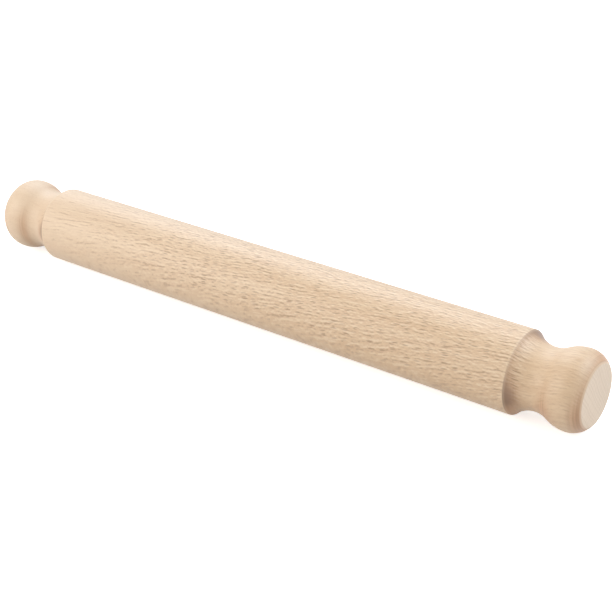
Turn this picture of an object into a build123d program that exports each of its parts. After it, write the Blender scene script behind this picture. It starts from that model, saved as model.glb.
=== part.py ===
from build123d import *
import os

# A rolling pin turned in one piece from a single beech blank. The pin lies along X with its middle at the
# origin, +Z is up and lengths are in millimetres. Barrel, necks and knobs are one solid, as on the real
# pin: it has no axle, seam or fastener, and its handles turn only together with the barrel.

# The whole pin
overall_length = 350.0
barrel_diameter = 39.0

# Each handle, with its distances measured along the pin from the end face
handle_length = 34.5
neck_distance = 24.0
neck_diameter = 29.5
crest_distance = 8.5
crest_diameter = 37.5
end_face_diameter = 28.5

# The curve between the knob's crest and the neck is an S of two arcs: this share of it belongs to the knob
knob_curve_share = 0.55

# Edges eased with sandpaper
barrel_edge_radius = 0.8
end_face_edge_radius = 0.6

nodes = {}


def handle_point(distance, diameter):
    """A point of the outline of the handle on the +X side: X runs along the pin and Y is the radius."""
    return Vector(overall_length / 2 - distance, diameter / 2)


def opposite(point):
    """The same point on the handle on the -X side."""
    return Vector(-point.X, point.Y)


def turned_section():
    """Half of the pin's lengthwise section, from the turning axis out to the surface that the lathe cuts."""
    towards_end = Vector(1, 0)
    towards_middle = Vector(-1, 0)

    face_centre = handle_point(0, 0)
    face_rim = handle_point(0, end_face_diameter)
    crest = handle_point(crest_distance, crest_diameter)
    neck = handle_point(neck_distance, neck_diameter)
    barrel_corner = handle_point(handle_length, barrel_diameter)
    knob_meets_neck = crest + (neck - crest) * knob_curve_share

    with BuildSketch() as section:
        with BuildLine():
            # The outline runs level at the knob's crest and at the neck, so each arc starts at one of them.
            # Two such arcs meet smoothly at any point of the straight line from the crest to the neck.
            Line(face_centre, face_rim)
            TangentArc(crest, face_rim, tangent=towards_end)
            TangentArc(crest, knob_meets_neck, tangent=towards_middle)
            TangentArc(neck, knob_meets_neck, tangent=towards_end)
            TangentArc(neck, barrel_corner, tangent=towards_middle)

            # The other handle is the same cut the other way round, and the straight barrel joins the two
            mirror(about=Plane.YZ)
            Line(barrel_corner, opposite(barrel_corner))
            Line(face_centre, opposite(face_centre))
        make_face()

        for sharp_point, radius in (
            (barrel_corner, barrel_edge_radius),
            (opposite(barrel_corner), barrel_edge_radius),
            (face_rim, end_face_edge_radius),
            (opposite(face_rim), end_face_edge_radius),
        ):
            fillet(section.vertices().sort_by_distance(sharp_point)[0], radius=radius)
    return section.sketch


def rolling_pin():
    """The section spun once about the turning axis."""
    return revolve(turned_section(), axis=Axis.X)


nodes["rolling_pin"] = rolling_pin()

os.makedirs("parts", exist_ok=True)
for name, solid in nodes.items():
    export_step(solid, os.path.join("parts", name + ".step"))
    print(name, "volume", round(solid.volume), "mm3, size", solid.bounding_box().size)
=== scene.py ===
"""A solid beech rolling pin, turned in one piece, lying on a white worktop."""
import math

import bmesh
import bpy
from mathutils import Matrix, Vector


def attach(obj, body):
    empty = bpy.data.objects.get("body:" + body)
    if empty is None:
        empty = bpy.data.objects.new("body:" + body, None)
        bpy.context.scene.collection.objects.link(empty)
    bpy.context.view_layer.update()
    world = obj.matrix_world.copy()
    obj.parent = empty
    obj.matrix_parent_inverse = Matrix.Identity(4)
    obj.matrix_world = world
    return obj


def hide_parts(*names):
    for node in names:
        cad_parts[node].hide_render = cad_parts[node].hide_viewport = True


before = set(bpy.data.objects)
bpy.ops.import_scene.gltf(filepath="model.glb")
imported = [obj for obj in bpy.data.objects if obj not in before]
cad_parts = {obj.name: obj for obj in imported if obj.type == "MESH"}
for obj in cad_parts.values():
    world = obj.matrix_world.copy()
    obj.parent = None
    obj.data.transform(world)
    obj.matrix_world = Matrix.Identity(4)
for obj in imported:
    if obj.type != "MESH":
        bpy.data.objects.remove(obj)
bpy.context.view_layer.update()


# The rolling pin
# The whole object is one length of beech, turned between the centres of a lathe: a straight barrel, and at
# each end a shoulder, a neck and a knob that is cut off flat. It is sanded and left without oil or varnish.
mm = 0.001
overall_length = 350.0 * mm
half_length = overall_length / 2
barrel_diameter = 39.0 * mm
handle_length = 34.5 * mm
neck_distance = 24.0 * mm
neck_diameter = 29.5 * mm
crest_distance = 8.5 * mm
crest_diameter = 37.5 * mm
end_face_diameter = 28.5 * mm
knob_curve_share = 0.55
barrel_edge_radius = 0.8 * mm
end_face_edge_radius = 0.6 * mm

# A short straight piece of the outline beside each sharp corner gives its rounding a place to begin
face_margin = 0.5 * mm
barrel_margin = 0.8 * mm

# How finely the mesh is cut, and how near to each other two of its points count as one
steps_round_pin = 192
steps_round_edge = 6
merge_distance = 0.002 * mm


def handle_point(distance, diameter):
    """A point of the handle's outline: X runs along the pin, Z is the radius."""
    return Vector((half_length - distance, 0, diameter / 2))


face_centre = handle_point(0, 0)
face_rim = handle_point(0, end_face_diameter)
face_shoulder = face_rim - Vector((0, 0, face_margin))
crest = handle_point(crest_distance, crest_diameter)
neck = handle_point(neck_distance, neck_diameter)
knob_meets_neck = crest + (neck - crest) * knob_curve_share
barrel_corner = handle_point(handle_length, barrel_diameter)
barrel_shoulder = barrel_corner - Vector((barrel_margin, 0, 0))
barrel_middle = Vector((0, 0, barrel_diameter / 2))


def select_near(point):
    """Select only the outline's vertices that lie at a point."""
    reach = 0.01 * mm
    outline = bmesh.from_edit_mesh(bpy.context.object.data)
    outline.select_mode = {"VERT"}
    for vertex in outline.verts:
        vertex.select = (vertex.co - point).length < reach
    outline.select_flush_mode()
    bmesh.update_edit_mesh(bpy.context.object.data)


def draw_line(start, end, pieces):
    """Draw the outline on from one point to the next in a straight line, cut into equal pieces."""
    select_near(start)
    for piece in range(pieces):
        bpy.ops.mesh.extrude_region_move(TRANSFORM_OT_translate={"value": (end - start) / pieces})


def draw_arc(start, end, level_point, pieces):
    """Draw the outline on round an arc that runs level with the axis at one of its two ends."""
    away = end if level_point is start else start
    along, rise = away.x - level_point.x, away.z - level_point.z
    radius = (along**2 + rise**2) / (2 * abs(rise))
    centre = level_point + Vector((0, 0, math.copysign(radius, rise)))
    turn = (end - centre).xz.angle_signed((start - centre).xz)
    select_near(start)
    bpy.ops.mesh.spin(steps=pieces, angle=turn, center=centre, axis=(0, 1, 0))


# The drawing starts from one vertex, made by merging a small triangle at its middle
bpy.ops.object.select_all(action="DESELECT")
bpy.ops.mesh.primitive_circle_add(vertices=3, radius=1 * mm)
pin = bpy.context.object
pin.name = pin.data.name = "turned_pin"
bpy.ops.object.mode_set(mode="EDIT")
bpy.ops.mesh.select_mode(type="VERT")
bpy.ops.mesh.select_all(action="SELECT")
bpy.ops.mesh.merge(type="CENTER")
bpy.ops.transform.translate(value=(half_length, 0, 0))

# One handle is drawn from the middle of its end face outwards, then over the knob, the neck and the
# shoulder, and on along the barrel to the middle of the pin
draw_line(face_centre, face_shoulder, 6)
draw_line(face_shoulder, face_rim, 1)
draw_arc(face_rim, crest, crest, 18)
draw_arc(crest, knob_meets_neck, crest, 16)
draw_arc(knob_meets_neck, neck, neck, 14)
draw_arc(neck, barrel_corner, neck, 20)
draw_line(barrel_corner, barrel_shoulder, 1)
draw_line(barrel_shoulder, barrel_middle, 70)

# The two sharp corners are eased, as sandpaper leaves them
for corner, radius in (
    (face_rim, end_face_edge_radius),
    (barrel_corner, barrel_edge_radius),
):
    outline = bmesh.from_edit_mesh(pin.data)
    sharp = min(outline.verts, key=lambda vertex: (vertex.co - corner).length)
    sides = [edge.other_vert(sharp).co - sharp.co for edge in sharp.link_edges]
    bend = math.pi - sides[0].angle(sides[1])
    select_near(corner)
    bpy.ops.mesh.bevel(
        affect="VERTICES",
        offset=radius * math.tan(bend / 2),
        segments=steps_round_edge,
        clamp_overlap=False,
    )

# The half outline is spun round the turning axis, and the other half is its mirror image
bpy.ops.mesh.select_all(action="SELECT")
bpy.ops.mesh.spin(steps=steps_round_pin, angle=2 * math.pi, center=(0, 0, 0), axis=(1, 0, 0))
bpy.ops.mesh.select_all(action="SELECT")
bpy.ops.mesh.remove_doubles(threshold=merge_distance)
bpy.ops.object.mode_set(mode="OBJECT")
mirror = pin.modifiers.new("other_half", "MIRROR")
mirror.use_axis = (True, False, False)
mirror.merge_threshold = merge_distance
bpy.ops.object.modifier_apply(modifier=mirror.name)
bpy.ops.object.mode_set(mode="EDIT")
bpy.ops.mesh.select_all(action="SELECT")
bpy.ops.mesh.normals_make_consistent(inside=False)
bpy.ops.object.mode_set(mode="OBJECT")
bpy.ops.object.shade_smooth_by_angle(angle=math.radians(30))

# Its surface is unrolled onto a square map: the turned side is a wide strip, cut open underneath, and the
# two end faces lie side by side above it. A point lies as far along the strip as the outline runs to it.
strip_left, strip_width = 0.005, 0.99
strip_middle, strip_height = 0.41, 0.8
faces_middle, face_offset, faces_height = 0.25, 0.15, 0.91
map_width = 175.0 * mm
unrolled = pin.data.uv_layers.new(name="OFBake")
stations = sorted({(round(v.co.x / mm, 4), round(v.co.yz.length / mm, 4)) for v in pin.data.vertices})
run = {}
travelled = 0.0
for (x, radius), (next_x, next_radius) in zip(stations, stations[1:]):
    run.setdefault(x, travelled)
    if x != next_x:
        travelled += math.hypot(next_x - x, next_radius - radius)
run.setdefault(stations[-1][0], travelled)
for face in pin.data.polygons:
    flat_end = abs(face.normal.x) > 0.9999
    side = math.copysign(1, face.center.x)
    middle_turn = math.atan2(face.center.y, face.center.z)
    for loop in face.loop_indices:
        place = pin.data.vertices[pin.data.loops[loop].vertex_index].co
        if flat_end:
            across = faces_middle + face_offset * side + place.y / map_width
            up = faces_height + place.z / map_width
        else:
            turn = math.atan2(place.y, place.z)
            turn += 2 * math.pi * round((middle_turn - turn) / (2 * math.pi))
            across = strip_left + strip_width * run[round(place.x / mm, 4)] / travelled
            up = strip_middle + strip_height * turn / (2 * math.pi)
        unrolled.data[loop].uv = (across, up)


def linear(hex_colour):
    """A colour written as sRGB hex, as the linear values that a shader takes."""
    channels = [int(hex_colour[i : i + 2], 16) / 255 for i in (1, 3, 5)]
    return [c / 12.92 if c <= 0.04045 else ((c + 0.055) / 1.055) ** 2.4 for c in channels] + [1.0]


def add_node(material, kind, inputs=None, **settings):
    """Add a node with its settings. An input takes a value, a socket, or the node that it links to."""
    node = material.node_tree.nodes.new(kind)
    for name, value in settings.items():
        setattr(node, name, value)
    sockets = [socket for socket in node.inputs if socket.enabled]
    for name, value in (inputs or {}).items():
        socket = sockets[name] if isinstance(name, int) else next(s for s in sockets if s.name == name)
        if isinstance(value, bpy.types.Node):
            value = next(output for output in value.outputs if output.enabled)
        if isinstance(value, bpy.types.NodeSocket):
            material.node_tree.links.new(value, socket)
        else:
            socket.default_value = value
    return node


# Steamed beech, turned and sanded: a pale pinkish buff with a matt, dry surface, short dark flecks where
# the rays come to the surface, and a browner tone where the cut crosses the fibres
beech = bpy.data.materials.new("sanded_beech")
beech.use_nodes = True
beech.node_tree.nodes.clear()
surface_place = add_node(beech, "ShaderNodeTexCoord")

# The timber's own directions, in mm: along the fibres, out from the pith and round the pith. The fibres
# rise about 7 degrees towards +X, and the pith lay about 130 mm away, below the pin and behind it. Each
# pattern in the grain is sized along these three.
fibre_rise = math.radians(7.4)
fibre_swing = math.radians(-2.3)
along_fibres = (0.991, 0.04, 0.128)
pith_to_pin = (0, -67.0, 116.0)
pith_distance = 130.0
timber = add_node(
    beech,
    "ShaderNodeMapping",
    {
        "Vector": surface_place.outputs["Object"],
        "Scale": (1 / mm, 1 / mm, 1 / mm),
        "Rotation": (0, fibre_rise, fibre_swing),
        "Location": pith_to_pin,
    },
)
# The fibres waver by about a millimetre, every few centimetres
waver_size = (30.0, 11.0, 11.0)
waver_reach = (0.0, 2.2, 2.2)
waver_cells = add_node(beech, "ShaderNodeVectorMath", {0: timber, 1: waver_size}, operation="DIVIDE")
waver = add_node(beech, "ShaderNodeTexNoise", {"Vector": waver_cells, "Scale": 1.0, "Detail": 3.0})
fibres = add_node(
    beech,
    "ShaderNodeVectorMath",
    {0: waver.outputs["Color"], 1: waver_reach, 2: timber},
    operation="MULTIPLY_ADD",
)
fibre_place = add_node(beech, "ShaderNodeSeparateXYZ", {0: fibres})
in_section = add_node(
    beech, "ShaderNodeCombineXYZ", {"Y": fibre_place.outputs["Y"], "Z": fibre_place.outputs["Z"]}
)
from_pith = add_node(beech, "ShaderNodeVectorMath", {0: in_section}, operation="LENGTH")
pith_angle = add_node(
    beech,
    "ShaderNodeMath",
    {0: fibre_place.outputs["Z"], 1: fibre_place.outputs["Y"]},
    operation="ARCTAN2",
)
round_pith = add_node(beech, "ShaderNodeMath", {0: pith_angle, 1: pith_distance}, operation="MULTIPLY")
grain = add_node(
    beech, "ShaderNodeCombineXYZ", {"X": fibre_place.outputs["X"], "Y": from_pith, "Z": round_pith}
)

# Rays are thin upright sheets of tissue that run out from the pith: 2 to 4 mm long along the fibres and a
# few tenths of a millimetre thick. A face cut round the pith shows them edge on, as dark dashes, and a face
# cut towards it as faint flakes.
ray_size = (6.5, 0.8, 1.0)
ray_sheets = add_node(beech, "ShaderNodeCombineXYZ", {"X": fibre_place.outputs["X"], "Y": round_pith})
ray_cells = add_node(beech, "ShaderNodeVectorMath", {0: ray_sheets, 1: ray_size}, operation="DIVIDE")
rays = add_node(
    beech, "ShaderNodeTexVoronoi", {"Vector": ray_cells, "Scale": 1.0}, voronoi_dimensions="2D"
)
ray_luck = add_node(beech, "ShaderNodeSeparateColor", {0: rays.outputs["Color"]})
ray_depth = add_node(beech, "ShaderNodeMath", {0: ray_luck, 1: 2.5}, operation="POWER")
ray_shape = add_node(
    beech,
    "ShaderNodeMapRange",
    {"Value": rays.outputs["Distance"], "From Min": 0.38, "From Max": 0.12, "To Max": ray_depth},
    interpolation_type="SMOOTHSTEP",
)
outward = add_node(beech, "ShaderNodeVectorMath", {0: in_section}, operation="NORMALIZE")
facing_out = add_node(
    beech,
    "ShaderNodeVectorMath",
    {0: surface_place.outputs["Normal"], 1: outward},
    operation="DOT_PRODUCT",
)
edge_on = add_node(beech, "ShaderNodeMath", {0: facing_out}, operation="ABSOLUTE")
ray_view = add_node(
    beech,
    "ShaderNodeMapRange",
    {"Value": edge_on, "From Min": 0.1, "From Max": 0.75, "To Min": 0.3},
    interpolation_type="SMOOTHSTEP",
)
ray_mark = add_node(beech, "ShaderNodeMath", {0: ray_shape, 1: ray_view}, operation="MULTIPLY")

# The marks are fainter where the surface is cut towards the pith, on the handles, which are sanded finer
# than the barrel, and towards the -X end, where the strands fade about half as much as the flecks do
barrel_marks = add_node(
    beech,
    "ShaderNodeMapRange",
    {"Value": edge_on, "From Min": 0.1, "From Max": 0.8, "To Min": 0.55},
    interpolation_type="SMOOTHSTEP",
)
along_pin = add_node(beech, "ShaderNodeSeparateXYZ", {0: surface_place.outputs["Object"]})
out_along = add_node(beech, "ShaderNodeMath", {0: along_pin}, operation="ABSOLUTE")
from_corner = add_node(
    beech, "ShaderNodeMath", {0: out_along, 1: half_length - handle_length}, operation="SUBTRACT"
)
handle_marks = add_node(
    beech,
    "ShaderNodeMapRange",
    {
        "Value": from_corner,
        "From Min": 3.0 * mm,
        "From Max": 9.0 * mm,
        "To Min": barrel_marks,
        "To Max": 0.3,
    },
    interpolation_type="SMOOTHSTEP",
)
faded_marks = add_node(
    beech,
    "ShaderNodeMapRange",
    {"Value": along_pin, "From Min": -140 * mm, "From Max": -50 * mm, "To Max": handle_marks},
)
mark_depth = add_node(beech, "ShaderNodeMix", {"Factor": 0.55, "A": faded_marks, "B": handle_marks})

# Between the rays the fibres lie in lighter and darker strands, about a millimetre wide and up to a couple
# of centimetres long, which break up into short strokes
strand_size = (12.0, 5.0, 0.62)
stroke_size = (2.2, 4.0, 0.62)
strand_cells = add_node(beech, "ShaderNodeVectorMath", {0: grain, 1: strand_size}, operation="DIVIDE")
stroke_cells = add_node(beech, "ShaderNodeVectorMath", {0: grain, 1: stroke_size}, operation="DIVIDE")
strands = add_node(beech, "ShaderNodeTexNoise", {"Vector": strand_cells, "Scale": 1.0, "Detail": 1.0})
strokes = add_node(beech, "ShaderNodeTexNoise", {"Vector": stroke_cells, "Scale": 1.0, "Detail": 1.0})
# Each dark strand has a pale one beside it: the pattern less itself, one strand further round
one_further = (0, 0, 1)
next_strand_cells = add_node(
    beech, "ShaderNodeVectorMath", {0: strand_cells, 1: one_further}, operation="ADD"
)
next_stroke_cells = add_node(
    beech, "ShaderNodeVectorMath", {0: stroke_cells, 1: one_further}, operation="ADD"
)
next_strands = add_node(
    beech, "ShaderNodeTexNoise", {"Vector": next_strand_cells, "Scale": 1.0, "Detail": 1.0}
)
next_strokes = add_node(
    beech, "ShaderNodeTexNoise", {"Vector": next_stroke_cells, "Scale": 1.0, "Detail": 1.0}
)
strand_step = add_node(beech, "ShaderNodeMath", {0: strands, 1: next_strands}, operation="SUBTRACT")
stroke_step = add_node(beech, "ShaderNodeMath", {0: strokes, 1: next_strokes}, operation="SUBTRACT")
# Towards the -X end the strands break up less
stroke_share = add_node(
    beech,
    "ShaderNodeMapRange",
    {"Value": along_pin, "From Min": -150 * mm, "From Max": -50 * mm, "To Min": 0.5},
)
strand_tone = add_node(
    beech,
    "ShaderNodeMath",
    {0: stroke_step, 1: stroke_share, 2: strand_step},
    operation="MULTIPLY_ADD",
)
dark_strand = add_node(
    beech,
    "ShaderNodeMapRange",
    {"Value": strand_tone, "From Min": 0.06, "From Max": 0.5, "To Max": mark_depth},
    interpolation_type="SMOOTHSTEP",
)
pale_strand = add_node(
    beech,
    "ShaderNodeMapRange",
    {"Value": strand_tone, "From Min": 0.0, "From Max": -0.35, "To Max": mark_depth},
    interpolation_type="SMOOTHSTEP",
)
# Slow streaks along the fibres, a few mm wide
streak_size = (60.0, 5.0, 3.5)
streak_cells = add_node(beech, "ShaderNodeVectorMath", {0: grain, 1: streak_size}, operation="DIVIDE")
streaks = add_node(beech, "ShaderNodeTexNoise", {"Vector": streak_cells, "Scale": 1.0, "Detail": 2.0})
streak = add_node(
    beech,
    "ShaderNodeMapRange",
    {"Value": streaks, "From Min": 0.25, "From Max": 0.75},
    interpolation_type="SMOOTHSTEP",
)
# Pores are too fine for the picture, so their strokes are drawn about three times as wide, at 0.2 mm
pore_size = (2.0, 0.25, 0.2)
pore_cells = add_node(beech, "ShaderNodeVectorMath", {0: grain, 1: pore_size}, operation="DIVIDE")
pores = add_node(
    beech, "ShaderNodeTexNoise", {"Vector": pore_cells, "Scale": 1.0, "Detail": 2.0, "Roughness": 0.6}
)
pore_mark = add_node(
    beech,
    "ShaderNodeMapRange",
    {"Value": pores, "From Min": 0.52, "From Max": 0.8, "To Max": 0.35},
    interpolation_type="SMOOTHSTEP",
)
# Growth rings, each deepening to a thin darker line
ring_width = 2.6
ring_waver_size = (90.0, 8.0, 25.0)
ring_cells = add_node(beech, "ShaderNodeVectorMath", {0: grain, 1: ring_waver_size}, operation="DIVIDE")
ring_waver = add_node(beech, "ShaderNodeTexNoise", {"Vector": ring_cells, "Scale": 1.0, "Detail": 2.0})
ring_shift = add_node(beech, "ShaderNodeMath", {0: ring_waver, 1: 2.5}, operation="MULTIPLY")
ring_count = add_node(
    beech, "ShaderNodeMath", {0: from_pith, 1: 1 / ring_width, 2: ring_shift}, operation="MULTIPLY_ADD"
)
ring_part = add_node(beech, "ShaderNodeMath", {0: ring_count}, operation="FRACT")
ring_rise = add_node(
    beech,
    "ShaderNodeMapRange",
    {"Value": ring_part, "From Min": 0.3, "From Max": 0.92},
    interpolation_type="SMOOTHSTEP",
)
ring_mark = add_node(
    beech,
    "ShaderNodeMapRange",
    {"Value": ring_part, "From Min": 1.0, "From Max": 0.94, "To Max": ring_rise},
    interpolation_type="SMOOTHSTEP",
)

# How squarely the surface cuts across the fibres: 0 along the barrel, 1 on an end face. Such a cut looks
# browner where it also opens the broad side of the rays.
facing_along = add_node(
    beech,
    "ShaderNodeVectorMath",
    {0: surface_place.outputs["Normal"], 1: along_fibres},
    operation="DOT_PRODUCT",
)
cut_across = add_node(beech, "ShaderNodeMath", {0: facing_along}, operation="ABSOLUTE")
end_grain = add_node(
    beech,
    "ShaderNodeMapRange",
    {"Value": cut_across, "From Min": 0.1, "From Max": 0.65},
    interpolation_type="SMOOTHSTEP",
)
end_tone = add_node(
    beech,
    "ShaderNodeMapRange",
    {"Value": edge_on, "From Min": 0.9, "From Max": 0.35, "To Max": end_grain},
    interpolation_type="SMOOTHSTEP",
)
# Sandpaper held against the turning pin leaves fine rings round it. They show on the end grain, and are
# drawn about four times as wide as they are, at 0.9 mm.
sanding_size = (0.9 * mm, 40 * mm, 40 * mm)
sanding_cells = add_node(
    beech,
    "ShaderNodeVectorMath",
    {0: surface_place.outputs["Object"], 1: sanding_size},
    operation="DIVIDE",
)
sanding = add_node(beech, "ShaderNodeTexNoise", {"Vector": sanding_cells, "Scale": 1.0, "Detail": 2.0})
sanding_ring = add_node(
    beech,
    "ShaderNodeMapRange",
    {"Value": sanding, "From Min": 0.42, "From Max": 0.7, "To Max": end_tone},
    interpolation_type="SMOOTHSTEP",
)
# The end faces were cut off and rubbed flat after the turning. Their rims, and less so the corners of the
# barrel, were broken with sandpaper. A paler line is painted along them: a painted highlight, as the eased
# edges catch the light.
cut_face = add_node(
    beech,
    "ShaderNodeMapRange",
    {"Value": out_along, "From Min": half_length - 0.12 * mm, "From Max": half_length - 0.02 * mm},
)
near_rim = add_node(
    beech,
    "ShaderNodeMapRange",
    {"Value": out_along, "From Min": half_length - 0.8 * mm, "From Max": half_length - 0.3 * mm},
    interpolation_type="SMOOTHSTEP",
)
off_corner = add_node(beech, "ShaderNodeMath", {0: from_corner}, operation="ABSOLUTE")
near_corner = add_node(
    beech,
    "ShaderNodeMapRange",
    {"Value": off_corner, "From Min": 1.0 * mm, "From Max": 0.3 * mm, "To Max": 0.5},
    interpolation_type="SMOOTHSTEP",
)
eased = add_node(beech, "ShaderNodeMath", {0: near_rim, 1: near_corner}, operation="MAXIMUM")
# Painted shade: a darker brown on the end grain where the cut dives from the barrel into the neck, on the
# side where it meets the growth rings aslant, standing in for the knob's shade over that part of the cove
off_shaded_side = add_node(beech, "ShaderNodeMath", {0: facing_out, 1: 0.4}, operation="SUBTRACT")
away_from_shaded_side = add_node(beech, "ShaderNodeMath", {0: off_shaded_side}, operation="ABSOLUTE")
shaded_side = add_node(
    beech,
    "ShaderNodeMapRange",
    {"Value": away_from_shaded_side, "From Min": 0.42, "From Max": 0.1, "To Max": end_tone},
    interpolation_type="SMOOTHSTEP",
)
shaded_flank = add_node(
    beech,
    "ShaderNodeMapRange",
    {"Value": from_corner, "From Min": 9.0 * mm, "From Max": 2.5 * mm, "To Max": shaded_side},
    interpolation_type="SMOOTHSTEP",
)
# Painted light: the wood is painted a little paler towards its -X end, standing in for the lamp on the left
# lighting that end more
painted_lit_end = add_node(
    beech,
    "ShaderNodeMapRange",
    {"Value": along_pin, "From Min": 60 * mm, "From Max": -140 * mm, "To Max": 0.32},
)

# The turned side: its ground colour in streaks, and then each mark over the ones before it, painted light
# and shade among them
browner = add_node(beech, "ShaderNodeMath", {0: end_tone, 1: 0.85}, operation="MULTIPLY")
sanding_line = add_node(beech, "ShaderNodeMath", {0: sanding_ring, 1: 0.5}, operation="MULTIPLY")
painted_flank_shade = add_node(beech, "ShaderNodeMath", {0: shaded_flank, 1: 0.9}, operation="MULTIPLY")
flecks = add_node(beech, "ShaderNodeMath", {0: ray_mark, 1: faded_marks}, operation="MULTIPLY")
painted_edge_highlight = add_node(beech, "ShaderNodeMath", {0: eased, 1: 0.42}, operation="MULTIPLY")
wood = add_node(
    beech,
    "ShaderNodeMix",
    {"Factor": streak, "A": linear("#E3C5A1"), "B": linear("#DDBC97")},
    data_type="RGBA",
)
for mark, colour in (
    # painted light: the -X end paler, standing in for the nearer lamp on the left
    (painted_lit_end, "#F0DCC6"),
    (dark_strand, "#BE9C7B"),
    (pale_strand, "#EED5B6"),
    (pore_mark, "#B98F68"),
    (browner, "#C9986E"),
    (sanding_line, "#A67C58"),
    # painted shade on the flank below the barrel corner
    (painted_flank_shade, "#86654C"),
    (flecks, "#AC8868"),
    # painted highlight along the eased rims and corners
    (painted_edge_highlight, "#F6E0C2"),
):
    wood = add_node(
        beech, "ShaderNodeMix", {"Factor": mark, "A": wood, "B": linear(colour)}, data_type="RGBA"
    )

# The end face, paler and greyer, with its rays as faint lines and its rings as faint arcs
face_ray = add_node(
    beech,
    "ShaderNodeMapRange",
    {"Value": rays.outputs["Distance"], "From Min": 0.45, "From Max": 0.15, "To Max": 0.3},
    interpolation_type="SMOOTHSTEP",
)
face_ring = add_node(beech, "ShaderNodeMath", {0: ring_mark, 1: 0.15}, operation="MULTIPLY")
end_face = add_node(
    beech,
    "ShaderNodeMix",
    {"Factor": face_ray, "A": linear("#E6CDB0"), "B": linear("#C9AB8A")},
    data_type="RGBA",
)
for mark, colour in (
    (face_ring, "#CBB091"),
    (pore_mark, "#CDB79E"),
):
    end_face = add_node(
        beech, "ShaderNodeMix", {"Factor": mark, "A": end_face, "B": linear(colour)}, data_type="RGBA"
    )
whole_colour = add_node(
    beech, "ShaderNodeMix", {"Factor": cut_face, "A": wood, "B": end_face}, data_type="RGBA"
)

# Rays and pores lie a few hundredths of a millimetre below the surface, and the pores vary its roughness
roughness = add_node(
    beech,
    "ShaderNodeMapRange",
    {"Value": pores, "From Min": 0.25, "From Max": 0.75, "To Min": 0.44, "To Max": 0.6},
)
pore_relief = add_node(beech, "ShaderNodeMath", {0: pores, 1: -0.02}, operation="MULTIPLY")
relief = add_node(
    beech, "ShaderNodeMath", {0: ray_mark, 1: -0.03, 2: pore_relief}, operation="MULTIPLY_ADD"
)
bump = add_node(beech, "ShaderNodeBump", {"Height": relief, "Distance": mm, "Strength": 1.0})
surface = add_node(
    beech,
    "ShaderNodeBsdfPrincipled",
    {
        "Base Color": whole_colour,
        "Roughness": roughness,
        "Normal": bump,
        "IOR": 1.5,
        "Specular IOR Level": 0.9,
        "Sheen Weight": 0.15,
        "Sheen Roughness": 0.5,
    },
)
add_node(beech, "ShaderNodeOutputMaterial", {"Surface": surface})
pin.data.materials.clear()
pin.data.materials.append(beech)

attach(pin, "root")
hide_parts("rolling_pin")


# The worktop
# A plain sheet of matt white paper that the pin lies on, wide enough that no edge is in sight. It isn't
# part of the object.
sheet_radius = 1.6
gap_under_pin = 0.01 * mm
bpy.ops.object.select_all(action="DESELECT")
bpy.ops.mesh.primitive_circle_add(
    vertices=96,
    radius=sheet_radius,
    fill_type="NGON",
    location=(0, 0, -barrel_diameter / 2 - gap_under_pin),
)
worktop = bpy.context.object
worktop.name = worktop.data.name = "worktop"
bpy.ops.object.transform_apply(location=True, rotation=True, scale=True)
white_sheet = bpy.data.materials.new("white_sheet")
white_sheet.use_nodes = True
white_sheet.node_tree.nodes.clear()
paper = add_node(white_sheet, "ShaderNodeBsdfDiffuse", {"Color": linear("#C6C6C6")})
# It is lifted to white for the camera, and for whatever mirrors it, and keeps the pin's shadow
white_paper = add_node(white_sheet, "ShaderNodeBsdfDiffuse", {"Color": linear("#FFFFFF")})
sheet_seen = add_node(white_sheet, "ShaderNodeLightPath")
sheet_mirrored = add_node(
    white_sheet,
    "ShaderNodeMath",
    {0: sheet_seen.outputs["Is Glossy Ray"], 1: sheet_seen.outputs["Is Transmission Ray"]},
    operation="MAXIMUM",
)
sheet_looked_at = add_node(
    white_sheet,
    "ShaderNodeMath",
    {0: sheet_seen.outputs["Is Camera Ray"], 1: sheet_mirrored},
    operation="MAXIMUM",
)
lift = add_node(white_sheet, "ShaderNodeEmission", {"Color": linear("#FFFFFF"), "Strength": 0.66})
lifted = add_node(white_sheet, "ShaderNodeAddShader", {0: white_paper, 1: lift})
sheet = add_node(white_sheet, "ShaderNodeMixShader", {0: sheet_looked_at, 1: paper, 2: lifted})
add_node(white_sheet, "ShaderNodeOutputMaterial", {"Surface": sheet})
worktop.data.materials.append(white_sheet)


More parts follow.
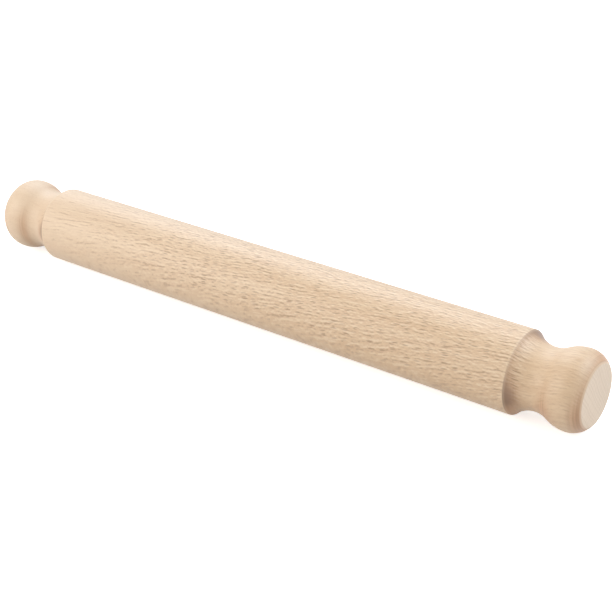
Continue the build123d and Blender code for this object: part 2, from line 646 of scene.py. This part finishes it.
# The studio light
# A white tent round the pin, with large soft lamps in front of it and behind it on both sides. Those behind
# are a little cooler, which keeps the top of the pin pale. The backdrop shows pure white.
tent = bpy.data.worlds.new("white_tent")
bpy.context.scene.world = tent
tent.use_nodes = True
tent.node_tree.nodes.clear()
tent_seen = add_node(tent, "ShaderNodeLightPath")
tent_mirrored = add_node(
    tent,
    "ShaderNodeMath",
    {0: tent_seen.outputs["Is Glossy Ray"], 1: tent_seen.outputs["Is Transmission Ray"]},
    operation="MAXIMUM",
)
tent_looked_at = add_node(
    tent, "ShaderNodeMath", {0: tent_seen.outputs["Is Camera Ray"], 1: tent_mirrored}, operation="MAXIMUM"
)
tent_light = add_node(tent, "ShaderNodeBackground", {"Color": linear("#FFFFFF"), "Strength": 0.34})
backdrop = add_node(tent, "ShaderNodeBackground", {"Color": linear("#FFFFFF"), "Strength": 1.0})
tent_wall = add_node(tent, "ShaderNodeMixShader", {0: tent_looked_at, 1: tent_light, 2: backdrop})
add_node(tent, "ShaderNodeOutputWorld", {"Surface": tent_wall})


def soft_lamp(name, azimuth, elevation, strength, colour):
    """A square lamp that faces the pin, from angles in degrees round from +X and up from level."""
    distance, size = 1.2, 0.8
    turn, rise = math.radians(azimuth), math.radians(elevation)
    level = math.cos(rise)
    towards_lamp = Vector((math.cos(turn) * level, math.sin(turn) * level, math.sin(rise)))
    lamp = bpy.data.lights.new(name, "AREA")
    lamp.shape = "SQUARE"
    lamp.size = size
    lamp.energy = strength * math.pi * size**2
    lamp.color = linear(colour)[:3]
    holder = bpy.data.objects.new(name, lamp)
    holder.location = towards_lamp * distance
    holder.rotation_euler = towards_lamp.to_track_quat("Z", "Y").to_euler()
    bpy.context.collection.objects.link(holder)


warm_white = "#FFF9F0"
cool_white = "#EAF3FF"
soft_lamp("front_left_lamp", 230, 21, 3.9, warm_white)
soft_lamp("front_right_lamp", 335, 6, 1.0, warm_white)
soft_lamp("back_left_lamp", 135, 47, 2.9, cool_white)
soft_lamp("back_right_lamp", 34, 47, 4.2, cool_white)


# The camera
# It looks at the pin from above the near handle, 37 degrees round from the side and 26 degrees above level,
# through a long lens.
round_from_side = math.radians(36.824)
above_level = math.radians(25.969)
towards_camera = Vector(
    (
        math.sin(round_from_side) * math.cos(above_level),
        -math.cos(round_from_side) * math.cos(above_level),
        math.sin(above_level),
    )
)
looked_at = Vector((23.15, 0, -3.192)) * mm
camera_distance = 653.505 * mm
lens = bpy.data.cameras.new("camera")
lens.sensor_width = 36.0
lens.lens = 79.23
camera = bpy.data.objects.new("camera", lens)
camera.location = looked_at + towards_camera * camera_distance
camera.rotation_euler = towards_camera.to_track_quat("Z", "Y").to_euler()
bpy.context.collection.objects.link(camera)
bpy.context.scene.camera = camera

bpy.context.scene.view_settings.view_transform = "Standard"
